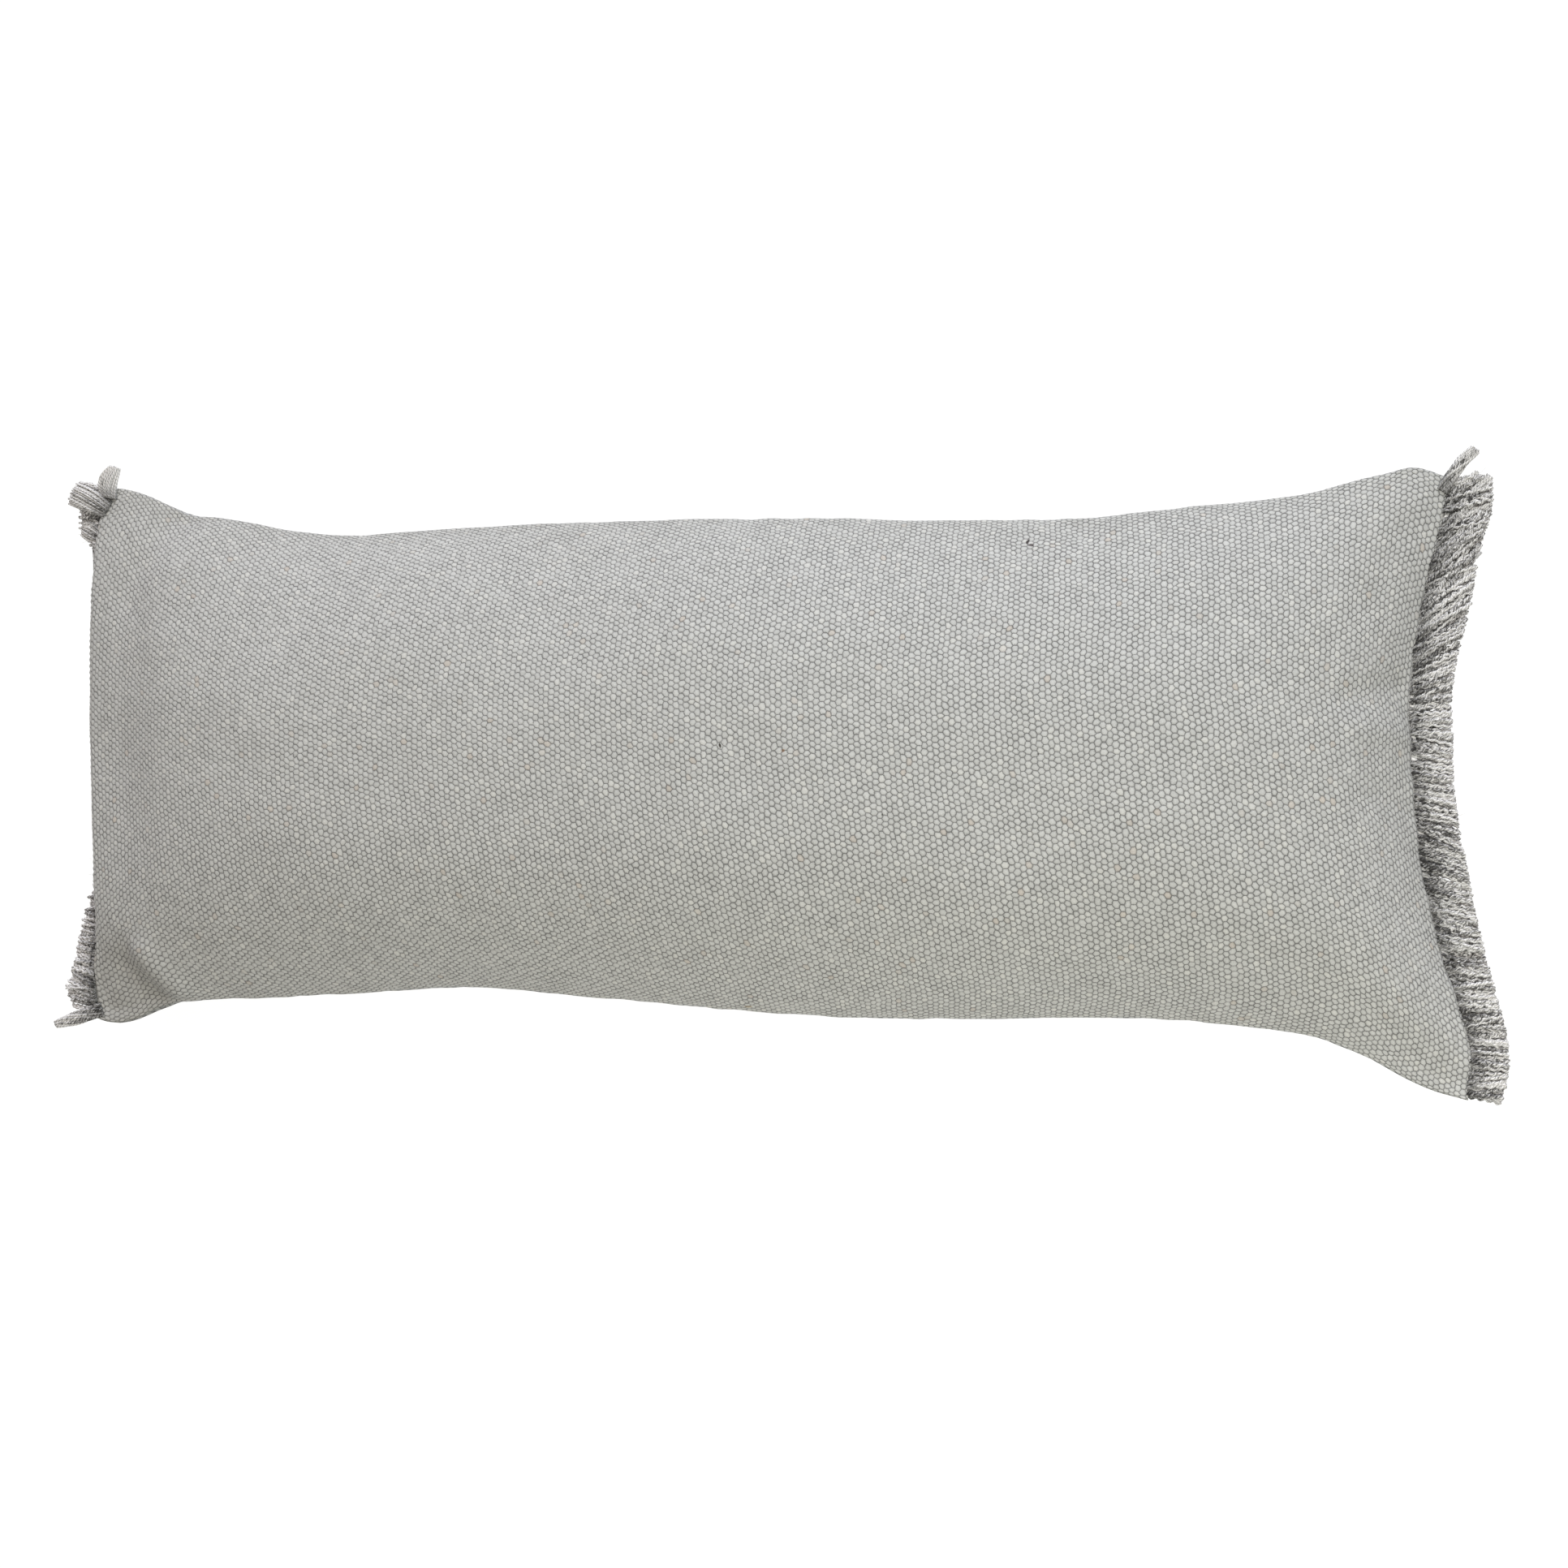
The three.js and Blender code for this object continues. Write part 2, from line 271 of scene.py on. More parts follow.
def through(rows, column, at):
    """A smooth line through a table's rows, by the slopes of their neighbours."""
    at = np.asarray(at, float)
    place, value = rows[:, AT], rows[:, column]
    last = len(rows) - 1
    i = np.clip(np.searchsorted(place, at, side="left") - 1, 0, last - 1)
    before = np.maximum(np.arange(last + 1) - 1, 0)
    after = np.minimum(np.arange(last + 1) + 1, last)
    slope = (value[after] - value[before]) / (place[after] - place[before])
    span = place[i + 1] - place[i]
    t = (at - place[i]) / span
    rise = value[i + 1] - value[i]
    a = slope[i] * span - rise
    b = rise - slope[i + 1] * span
    return value[i] + t * rise + t * (1 - t) * (a * (1 - t) + b * t)


def crown(along, across):
    """Height of the front panel above the seam."""
    place = across - SAG * (1 - across ** 2)
    share = np.maximum(1 - np.abs(place) ** FULLNESS, 0) ** FALL
    return through(LENGTHWISE, CROWN, along) * share


def on_plan(along, across):
    """x and y of a place on either panel."""
    left, right = through(CROSSWISE, LEFT, across), through(CROSSWISE, RIGHT, across)
    lower, upper = through(LENGTHWISE, LOWER, along), through(LENGTHWISE, UPPER, along)
    inward = (along + 1) / BULGE_REACH
    swell = END_BULGE * inward * np.exp(1 - inward) * (1 - across ** 2)
    return left + (right - left) * (along + 1) / 2 - swell, lower + (upper - lower) * (across + 1) / 2


def landed(height):
    """Height of the back panel: never below the surface, and curving softly onto it."""
    soft = (height + LANDING) ** 2 / (4 * LANDING)
    return np.where(height > LANDING, height, np.where(height < -LANDING, 0, soft))


def panel_places(along, across, front):
    x, y = on_plan(along, across)
    if front:
        z = SEAM_HEIGHT + SEAM_BAND / 2 + crown(along, across)
    else:
        z = landed(SEAM_HEIGHT - SEAM_BAND / 2 - BACK_SHARE * crown(along, across))
    return np.stack([x, y, z], axis=-1)


def even_along(axis, along, across, front):
    """Slides the grid's points along one family of yarns until their spacing is even."""
    places = panel_places(along, across, front)
    steps = np.linalg.norm(np.diff(places, axis=axis), axis=2)
    steps, along, across = (np.moveaxis(grid, axis, 0) for grid in (steps, along, across))
    length = np.vstack([np.zeros(steps.shape[1]), np.cumsum(steps, axis=0)])
    shares = (length / length[-1]).T
    even = np.linspace(0, 1, len(length))
    moved = []
    for grid in (along, across):
        lines = [np.interp(even, share, line) for share, line in zip(shares, grid.T)]
        moved.append(np.moveaxis(np.stack(lines, axis=1), 0, axis))
    return moved


def even_grid(columns, rows):
    """Places along and across the pillow, from -1 to 1, of a grid of points."""
    return np.meshgrid(np.linspace(-1, 1, columns), np.linspace(-1, 1, rows), indexing="ij")


def yarn_grid(front):
    """Places along and across the pillow of each crossing of a yarn column and a yarn row."""
    along, across = even_grid(COLUMNS + 1, ROWS + 1)
    for _ in range(EVENING_ROUNDS):
        for axis in (0, 1):
            along, across = even_along(axis, along, across, front)
    column, row = drawn_places()
    places = sample(np.stack([along, across], axis=-1), column.ravel(), row.ravel())
    return np.moveaxis(places.reshape(COLUMNS + 1, ROWS + 1, 2), -1, 0)


def drawn_places():
    """The even column and row at which each crossing lies, for the cloth is pulled askew and bunched."""
    column, row = np.arange(COLUMNS + 1)[:, None], np.arange(ROWS + 1)[None, :]
    rows = BUNCHED["rows"]
    row = row + bunched(ROWS - row, rows) * row / ROWS - bunched(row, rows) * (1 - row / ROWS)
    aside = askew(*cloth_places(column, row)) / COLUMN_PITCH
    column = column + aside + bunched(COLUMNS - column, BUNCHED["columns"]) * column / COLUMNS
    return np.broadcast_arrays(column, row)


def bunched(away, bunch):
    """How many yarns nearer to the seam the cloth is drawn, so many yarns away from it."""
    return bunch["most"] * (1 - np.exp(-away / bunch["over"])) * np.exp(-away / bunch["fade"])


def cloth_places(column, row):
    """Millimetres of cloth from the panel's middle."""
    return (column - COLUMNS / 2) * COLUMN_PITCH, (row - ROWS / 2) * ROW_PITCH


def askew(u, v):
    """How far along the pillow a yarn column strays from its even place."""
    above = np.maximum(v - ASKEW["from"], 0) ** 2
    below = np.maximum(-v - ASKEW["from"], 0) ** 2
    towards_left = np.clip(-u / ASKEW["turnover"], -ASKEW["right_share"], 1)
    free = 1 - (u / (COLUMNS * COLUMN_PITCH / 2)) ** ASKEW["end_power"]
    return ASKEW["bend"] * (below * towards_left - above) * free


def soft_noise(u, v, pitch, seed):
    """Smooth noise between -1 and 1 with a bump about every pitch."""
    table = np.random.default_rng(seed).uniform(-1, 1, (NOISE_CELLS, NOISE_CELLS))
    a, b = u / pitch + NOISE_START, v / pitch + NOISE_START
    i, j = np.floor(a).astype(int), np.floor(b).astype(int)
    s, t = a - i, b - j
    s, t = s * s * (3 - 2 * s), t * t * (3 - 2 * t)

    def pick(m, n):
        return table[m % NOISE_CELLS, n % NOISE_CELLS]

    low = pick(i, j) * (1 - s) + pick(i + 1, j) * s
    high = pick(i, j + 1) * (1 - s) + pick(i + 1, j + 1) * s
    return low * (1 - t) + high * t


def crease_depth(u, v, crease):
    """Depth of one soft trough, or ridge where its depth is negative."""
    start, end = np.array(crease["start"], float), np.array(crease["end"], float)
    span = end - start
    share = ((u - start[0]) * span[0] + (v - start[1]) * span[1]) / (span @ span)
    nearest = np.clip(share, 0, 1)
    away = np.hypot(u - start[0] - nearest * span[0], v - start[1] - nearest * span[1])
    return crease["depth"] * np.exp(-(away / crease["width"]) ** 2)


def unevenness(u, v, front):
    """How far the cloth stands out of the even form: filling, creases and gathers at the seams."""
    seed_shift = 0 if front else BACK_SEED_SHIFT
    rise = sum(f["height"] * soft_noise(u, v, f["pitch"], f["seed"] + seed_shift) for f in FILLING)
    half_length, half_width = COLUMNS * COLUMN_PITCH / 2, ROWS * ROW_PITCH / 2
    to_seam = np.minimum(half_length - np.abs(u), half_width - np.abs(v))
    rise = rise * (1 - np.exp(-(to_seam / FILLING_REACH) ** 2))
    side = 1 if front else -1
    for crease in CREASES:
        share = np.clip(to_seam / CREASE_RIM["reach"], CREASE_RIM["share"], 1)
        rise -= side * crease_depth(u, v, crease) * share
    gather = GATHER["height"] * soft_noise(u, v, GATHER["pitch"], GATHER["seed"] + seed_shift)
    return rise + gather * np.exp(-to_seam / GATHER["reach"])


def part_shift():
    """From the tables' own origin to the part's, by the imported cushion's place."""
    low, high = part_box("cushion")
    places = panel_places(*even_grid(FORM_STEPS, FORM_STEPS), True).reshape(-1, 3)
    middle = (places.min(axis=0) + places.max(axis=0)) / 2
    return np.array([(low.x + high.x) / 2 / MM - middle[0], (low.y + high.y) / 2 / MM - middle[1], 0])


SHIFT = part_shift()


def panel_grid(front):
    """(points, normals) of a panel at its yarn crossings, in the part's frame, in millimetres."""
    along, across = yarn_grid(front)
    points = panel_places(along, across, front) + SHIFT
    rise = unevenness(*cloth_places(*drawn_places()), front)
    points = points + grid_normals(points, front) * rise[..., None]
    points[..., 2] = np.maximum(points[..., 2], 0)
    return points, grid_normals(points, front)


def grid_normals(points, front):
    normals = np.cross(np.gradient(points, axis=0), np.gradient(points, axis=1))
    normals /= np.maximum(np.linalg.norm(normals, axis=2, keepdims=True), TINY)
    return normals if front else -normals


def sample(grid, column, row):
    """A grid's value between its crossings."""
    i = np.clip(np.floor(column).astype(int), 0, COLUMNS - 1)
    j = np.clip(np.floor(row).astype(int), 0, ROWS - 1)
    s, t = (column - i)[:, None], (row - j)[:, None]
    low = grid[i, j] * (1 - s) + grid[i + 1, j] * s
    high = grid[i, j + 1] * (1 - s) + grid[i + 1, j + 1] * s
    return low * (1 - t) + high * t


def lattice_row(row):
    """Columns of the weave's lattice points on one row. One in three is the middle of a bump."""
    if row % 2 == 0:
        return np.arange(COLUMNS * 3 // 2 + 1) * 2 / 3
    inner = np.arange(COLUMNS * 3 // 2) * 2 / 3 + 1 / 3
    return np.concatenate([[0.0], inner, [float(COLUMNS)]])


def front_points(rng):
    """The front panel's points with the weave's relief, their columns and rows, and the index rows."""
    grid, normals = panel_grid(True)
    columns, rows, index_rows = [], [], []
    for row in range(ROWS + 1):
        places = lattice_row(row)
        index_rows.append(np.arange(len(places)) + sum(len(done) for done in columns))
        columns.append(places)
        rows.append(np.full(len(places), float(row)))
    columns, rows = np.concatenate(columns), np.concatenate(rows)
    to_side = np.minimum(columns, COLUMNS - columns)
    inside = np.clip(np.minimum(to_side, np.minimum(rows, ROWS - rows)) / RELIEF_START, 0, 1)
    moved = []
    for even, wanderer in zip((columns, rows), WANDERERS):
        drift = WANDER * soft_noise(columns, rows, WANDER_PITCH, wanderer["seed"])
        drift += JITTER * rng.uniform(-1, 1, len(columns))
        moved.append(even + wanderer["share"] * drift * inside)
    middle = np.isclose(columns % 2, rows % 2)
    rise = np.where(middle, 1, DIP_SHARE) * BUMP_RISE * rng.uniform(*BUMP_LUCK, len(columns)) * inside
    points = sample(grid, *moved) + sample(normals, *moved) * rise[:, None]
    return points, columns, rows, index_rows


def back_points():
    """The back panel's points, columns, rows and index rows."""
    grid, _ = panel_grid(False)
    steps = np.arange(0, COLUMNS + 1, BACK_STEP), np.arange(0, ROWS + 1, BACK_STEP)
    index_rows = [np.arange(len(steps[0])) + k * len(steps[0]) for k in range(len(steps[1]))]
    columns, rows = np.tile(steps[0], len(steps[1])), np.repeat(steps[1], len(steps[0]))
    return grid[columns, rows], columns.astype(float), rows.astype(float), index_rows


def zipped(low, low_at, high, high_at):
    """Triangles between two lines of points, facing the eye that sees low below high and both run right."""
    faces, i, j = [], 0, 0
    last_low, last_high = len(low) - 1, len(high) - 1
    while i < last_low or j < last_high:
        if j == last_high or (i < last_low and low_at[i + 1] + low_at[i] <= high_at[j + 1] + high_at[j]):
            faces.append((low[i], low[i + 1], high[j]))
            i += 1
        else:
            faces.append((low[i], high[j + 1], high[j]))
            j += 1
    return faces


def panel_faces(index_rows, columns):
    faces = []
    for low, high in zip(index_rows, index_rows[1:]):
        faces += zipped(low, columns[low], high, columns[high])
    return faces


def rim(index_rows):
    """The four edges of a panel, anticlockwise from its lower left corner."""
    left = np.array([line[0] for line in index_rows])
    right = np.array([line[-1] for line in index_rows])
    return [index_rows[0], right, index_rows[-1][::-1], left[::-1]]


def along_rim(columns, rows, edge, number):
    """How far along its edge each rim point lies."""
    value = (columns, rows, columns, rows)[number][edge]
    return value if number < 2 else -value


def groove_points(points, columns, rows, edges):
    """The line of the seam, pulled in between the panels, one point for each rim point of the front."""
    loop = np.concatenate([edge[:-1] for edge in edges])
    line = points[loop]
    run = np.roll(line, -1, axis=0) - np.roll(line, 1, axis=0)
    inward = np.stack([-run[:, 1], run[:, 0], np.zeros(len(run))], axis=1)
    inward /= np.linalg.norm(inward, axis=1, keepdims=True)
    seam = line + inward * GROOVE_DEPTH
    seam[:, 2] = line[:, 2] - SEAM_BAND / 2
    outward = (np.sign(columns[loop] - COLUMNS / 2) * np.isin(columns[loop], (0, COLUMNS)),
               np.sign(rows[loop] - ROWS / 2) * np.isin(rows[loop], (0, ROWS)))
    return seam, columns[loop] + GROOVE_COLUMNS * outward[0], rows[loop] + outward[1]


def new_mesh(name, points, faces, material):
    """An object in metres from points in millimetres."""
    mesh = bpy.data.meshes.new(name)
    faces = np.asarray(faces, np.int32)
    mesh.vertices.add(len(points))
    mesh.vertices.foreach_set("co", (np.asarray(points) * MM).astype(np.float32).ravel())
    mesh.loops.add(faces.size)
    mesh.loops.foreach_set("vertex_index", faces.ravel())
    mesh.polygons.add(len(faces))
    mesh.polygons.foreach_set("loop_start", np.arange(len(faces), dtype=np.int32) * faces.shape[1])
    mesh.polygons.foreach_set("use_smooth", np.ones(len(faces), bool))
    mesh.update(calc_edges=True)
    mesh.validate()
    mesh.materials.append(material)
    piece = bpy.data.objects.new(name, mesh)
    bpy.context.scene.collection.objects.link(piece)
    return piece


def add_uv(piece, name, corners):
    layer = piece.data.uv_layers.new(name=name)
    layer.data.foreach_set("uv", np.asarray(corners, np.float32).ravel())


def make_cushion(material):
    """One closed mesh: the front panel with its weave, the seam's groove, and the back panel."""
    rng = np.random.default_rng(CLOTH_SEED)
    front, front_columns, front_rows, front_lines = front_points(rng)
    back, back_columns, back_rows, back_lines = back_points()
    front_rim = rim(front_lines)
    seam, seam_columns, seam_rows = groove_points(front, front_columns, front_rows, front_rim)
    first_seam = len(front)
    first_back = first_seam + len(seam)
    points = np.concatenate([front, seam, back])
    columns = np.concatenate([front_columns, seam_columns, back_columns])
    rows = np.concatenate([front_rows, seam_rows, back_rows])
    back_lines = [line + first_back for line in back_lines]
    faces = panel_faces(front_lines, columns)
    start = 0
    seam_loop = np.arange(len(seam)) + first_seam
    back_faces = [(a, c, b) for a, b, c in panel_faces(back_lines, columns)]
    for number, (front_edge, back_edge) in enumerate(zip(front_rim, rim(back_lines))):
        seam_edge = np.take(seam_loop, range(start, start + len(front_edge)), mode="wrap")
        start += len(front_edge) - 1
        at = along_rim(columns, rows, front_edge, number)
        faces += zipped(seam_edge, at, front_edge, at)
        back_faces += zipped(back_edge, along_rim(columns, rows, back_edge, number), seam_edge, at)
    corners = np.array(faces + back_faces)
    piece = new_mesh("cushion_cloth", points, corners, material)
    shown = corners.ravel()
    add_uv(piece, "cloth", np.stack([columns[shown], rows[shown]], axis=1))
    on_back = np.repeat(np.arange(len(corners)) >= len(faces), 3)
    over = BAKE_MARGIN + (1 - 2 * BAKE_MARGIN) * columns[shown] / COLUMNS
    up = BAKE_MARGIN + (0.5 - 2 * BAKE_MARGIN) * rows[shown] / ROWS + 0.5 * on_back
    add_uv(piece, "OFBake", np.stack([over, up], axis=1))
    piece.data.uv_layers.active = piece.data.uv_layers["cloth"]
    return piece


# Fringe, in the form's own frame. top, bottom: y past which its yarns are cut. tone: paler, or darker below
# nought; the left fringe's paler tone is painted light, against the shade that the cushion casts on it. A
# lie's rows hold the place along the short seam, lean towards +Y, droop below level, and reach.
FRINGES = named(("node", "outward", "seed", "top", "bottom", "tone"), [
    # paler yarns here: painted light against the cushion's shade on this fringe
    ("fringe_left", -1, 41, 184.5, -181.0, 0.18),
    ("fringe_right", 1, 42, 185.0, -186.0, 0.0),
])
LEAN, DROOP, REACH = 1, 2, 3
FRINGE_LIE = {
    "fringe_left": np.array([
        (-1.00, -12, 24, 21),
        (-0.95, 4, 22, 26),
        (-0.90, 16, 22, 28),
        (-0.85, 16, 24, 25),
        (-0.79, 8, 28, 21.5),
        (-0.73, 4, 32, 25),
        (-0.60, 0, 38, 25),
        (-0.52, 0, 44, 26),
        (-0.42, 0, 56, 25),
        (-0.30, 0, 74, 24),
        (0.70, 4, 74, 22),
        (0.77, 6, 60, 19),
        (0.81, 8, 36, 18),
        (0.86, 14, 20, 18.5),
        (0.91, 18, 8, 19),
        (0.94, 20, 2, 21),
        (1.00, 20, 0, 20),
    ]),
    "fringe_right": np.array([
        (-1.00, -2, 4, 19),
        (-0.90, 0, 5, 20.5),
        (-0.75, 0, 5, 22.5),
        (-0.45, -6, 6, 24.5),
        (-0.30, -18, 6, 25),
        (-0.10, -16, 6, 23.5),
        (0.05, -10, 6, 23),
        (0.15, -6, 6, 24),
        (0.32, 24, 6, 24),
        (0.45, 34, 6, 25),
        (0.55, 38, 5, 26.5),
        (0.80, 36, 4, 25.5),
        (0.92, 28, 3, 26.5),
        (1.00, 12, 2, 24.5),
    ]),
}
YARNS = 1000              # in one fringe
YARN_RADIUS = 0.95
YARN_SIDES = 4
YARN_STEPS = 20
YARN_LUCK = (0.75, 1.2)   # one yarn's radius against another's
UNCUT_LENGTH = 46.0       # a yarn before the fringe is trimmed
UNCUT_STEPS = 70
SEAM_SHARE = 0.99         # of a short seam, the part that holds yarns
HALF_SEAM = 180.0
FRINGE_WIDTH = 25.0       # its usual width, for what grows from the seam outwards
CRINKLE_ANGLES = (20, 48)
CRINKLE_LENGTHS = (4.8, 8.0)
CRINKLE_DROOP = 0.7       # crinkling up and down, against that to the sides
CLUMPS = {"pitch": 9, "layers": 3, "lean": 5}      # neighbours that lean together
CURL = 9
STRAYS = {"lean": 7, "share": 0.15, "times": 3}    # all yarns stray a little, and this share far more
LAYERS = {"droop": 6, "rise": 1.2}                 # from the topmost yarns to the middle ones
DROOP_GROWTH = (0.5, 1.3)                          # at the root, and the most further out
ROOT_INSIDE = 1.0         # a yarn starts this far inside the seam's line
FRAY = {"from": 0.8, "radius": 0.85}               # thinning towards the cut end
CUT = {"uneven": 0.25, "droop": 1.1, "longest": 1.2, "slack": 0.5, "shortest_steps": 6}
WORN = {"share": 0.03, "lengths": (0.6, 0.95)}     # yarns that broke off shorter
STRIP = {"inside": 0.8, "outside": 3.2, "inner_half": 0.7, "outer_half": 0.5, "steps": 61}

# Locks that stand off at the corners. start, end: x and y. bow: how far its middle swings to its left.
# lift: start above the seam. rise: end above the start. root, tip: width there, against the widest.
LOCKS = named((
    "node", "start", "end", "bow", "lift", "rise", "width", "root", "tip", "yarns", "tone", "twists",
), [
    ("fringe_right", (424, 175.5), (441.5, 200.5), 1.8, 2, 3, 6.8, 0.9, 0.8, 22, -0.1, 0.5),
    ("fringe_right", (433, 172), (443.5, 188), 0.3, 1, 0, 3.6, 1.0, 0.15, 8, -0.1, 0.4),
    ("fringe_right", (438, 170), (450, 185.5), 0.3, 1, 0, 5.0, 1.0, 0.5, 10, -0.1, 0.4),
    ("fringe_left", (-443, 174), (-439.5, 195), 3.2, 2, 2, 13.0, 0.8, 0.6, 44, 0.3, 0.1),
    ("fringe_left", (-443, 166), (-469.5, 178), -1.0, 1, 1, 18.5, 0.7, 0.95, 54, 0.12, 0.05),
    ("fringe_left", (-448, 149), (-465.5, 155.5), -1.0, -1, -5, 17.5, 0.9, 0.7, 42, 0.0, 0.05),
    ("fringe_left", (-427, -172), (-461.3, -183.7), 0.0, 0, -1, 8.5, 1.0, 0.5, 24, -0.25, 0.4),
])
LOCK_PEAK = 0.55          # how far along a lock is widest
LOCK_UNEVEN = 0.01
LOCK_FLATNESS = 0.5       # a lock's thickness against its width
GOLDEN_TURN = math.pi * (3 - math.sqrt(5))         # packs a lock's yarns evenly round its middle

# Fine stray hairs of one fringe
HAIRS = {"count": 300, "steps": 5, "sides": 3, "radius": 0.1, "tip": 0.4, "swing": 0.45, "bend": 0.6}
HAIR_LENGTHS = (1.5, 4.0)

# What a tube's points keep for its material
AROUND, LENGTH, TIP, NUMBER, TONE = range(5)
TWIST_STARTS = (0, 400)
BAKE_CELL = (0.05, 0.9)   # each tube's own cell in the bake: its margin, and the rest


def seam_line(outward, at):
    """Points of a short seam, in the part's frame."""
    x, y = on_plan(np.full(len(at), float(outward)), at)
    return np.stack([x, y, np.full(len(at), SEAM_HEIGHT)], axis=1) + SHIFT


def directions(outward, lean, droop):
    lean, droop = np.radians(lean), np.radians(droop)
    level = np.cos(droop)
    return np.stack([outward * np.cos(lean) * level, np.sin(lean) * level, -np.sin(droop)], axis=-1)


def swept(paths, radii, sides):
    """Closed tubes along many paths at once: points, and faces of three corners."""
    count, steps, _ = paths.shape
    runs = np.gradient(paths, axis=1)
    runs /= np.maximum(np.linalg.norm(runs, axis=2, keepdims=True), TINY)
    side = np.cross(np.array([0.0, 0.0, 1.0]), runs)
    level = np.linalg.norm(side, axis=2, keepdims=True)
    side = np.where(level < UPRIGHT, np.array([1.0, 0.0, 0.0]), side / np.maximum(level, TINY))
    up = np.cross(runs, side)
    turn = 2 * np.pi * np.arange(sides) / sides
    ring = np.cos(turn)[:, None] * side[:, :, None] + np.sin(turn)[:, None] * up[:, :, None]
    points = paths[:, :, None] + ring * radii[:, :, None, None]
    return points.reshape(-1, 3), tube_faces(count, steps, sides)


def tube_faces(count, steps, sides):
    """Faces of three corners for tubes whose points are numbered round, then along, then tube by tube."""
    index = np.arange(count * steps * sides).reshape(count, steps, sides)
    here, beside = index[:, :-1], np.roll(index, -1, axis=2)[:, :-1]
    over, over_beside = index[:, 1:], np.roll(index, -1, axis=2)[:, 1:]
    faces = [np.stack([here, beside, over_beside], axis=-1).reshape(-1, 3),
             np.stack([here, over_beside, over], axis=-1).reshape(-1, 3)]
    for s in range(1, sides - 1):
        faces.append(np.stack([index[:, 0, 0], index[:, 0, s + 1], index[:, 0, s]], axis=-1))
        faces.append(np.stack([index[:, -1, 0], index[:, -1, s], index[:, -1, s + 1]], axis=-1))
    return np.concatenate(faces)


def crinkle(out, rng):
    """Turns of yarns that keep the wave of their old twist, in degrees."""
    angle, length = rng.uniform(*CRINKLE_ANGLES, (YARNS, 1)), rng.uniform(*CRINKLE_LENGTHS, (YARNS, 1))
    return angle * np.sin(2 * np.pi * (out / length + rng.uniform(0, 1, (YARNS, 1))))


def yarn_paths(fringe, rng):
    """Middle lines of a fringe's yarns: combed out of the seam, crinkled, and trimmed to an even edge."""
    outward, lie = fringe["outward"], FRINGE_LIE[fringe["node"]]
    at = np.sort(rng.uniform(-SEAM_SHARE, SEAM_SHARE, (YARNS, 1)), axis=0)
    layer = rng.uniform(-1, 1, (YARNS, 1))
    out = np.linspace(0, UNCUT_LENGTH, UNCUT_STEPS)[None, :]
    clump = soft_noise(at * HALF_SEAM, CLUMPS["layers"] * layer, CLUMPS["pitch"], fringe["seed"])
    curl = rng.normal(0, CURL, (YARNS, 1)) * (out / FRINGE_WIDTH - 0.5)
    stray = rng.normal(0, STRAYS["lean"], (YARNS, 1))
    stray = stray * np.where(rng.random((YARNS, 1)) < STRAYS["share"], STRAYS["times"], 1)
    lean = through(lie, LEAN, at) + CLUMPS["lean"] * clump + stray + curl + crinkle(out, rng)
    at_root, most = DROOP_GROWTH
    droop = through(lie, DROOP, at) * np.clip(at_root + out / FRINGE_WIDTH, 0, most)
    droop = droop - LAYERS["droop"] * layer + CRINKLE_DROOP * crinkle(out, rng)
    run = directions(outward, lean, droop) * (UNCUT_LENGTH / (UNCUT_STEPS - 1))
    run[:, 0] = 0
    root = seam_line(outward, at[:, 0])
    root[:, 0] -= outward * ROOT_INSIDE
    root[:, 2] += LAYERS["rise"] * layer[:, 0]
    return trimmed(fringe, root[:, None] + np.cumsum(run, axis=1), rng)


def trimmed(fringe, paths, rng):
    """The paths cut where they cross the fringe's edge, each with the same number of points."""
    outward, lie = fringe["outward"], FRINGE_LIE[fringe["node"]]
    x, y, z = np.moveaxis(paths - SHIFT, -1, 0)
    end = LENGTHWISE[-1 if outward > 0 else 0]
    across = np.clip(2 * (y - end[LOWER]) / (end[UPPER] - end[LOWER]) - 1, -1, 1)
    seam_x = through(CROSSWISE, RIGHT if outward > 0 else LEFT, across)
    reach = through(lie, REACH, across) + rng.normal(0, CUT["uneven"], (YARNS, 1))
    worn = np.where(rng.random((YARNS, 1)) < WORN["share"], rng.uniform(*WORN["lengths"], (YARNS, 1)), 1)
    level = np.cos(np.radians(CUT["droop"] * through(lie, DROOP, across)))
    past = outward * (x - seam_x) > reach * worn * level
    past |= np.hypot(x - seam_x, z - SEAM_HEIGHT) > CUT["longest"] * reach
    slack = rng.normal(0, CUT["slack"], (YARNS, 1))
    past |= (y > fringe["top"] + slack) | (y < fringe["bottom"] + slack)
    past[:, :CUT["shortest_steps"]] = False
    stop = np.where(past.any(axis=1), past.argmax(axis=1), UNCUT_STEPS - 1)
    at = stop[:, None] * np.linspace(0, 1, YARN_STEPS)
    low = np.minimum(np.floor(at).astype(int), UNCUT_STEPS - 2)
    share = (at - low)[..., None]
    pick = np.arange(YARNS)[:, None]
    return paths[pick, low] * (1 - share) + paths[pick, low + 1] * share


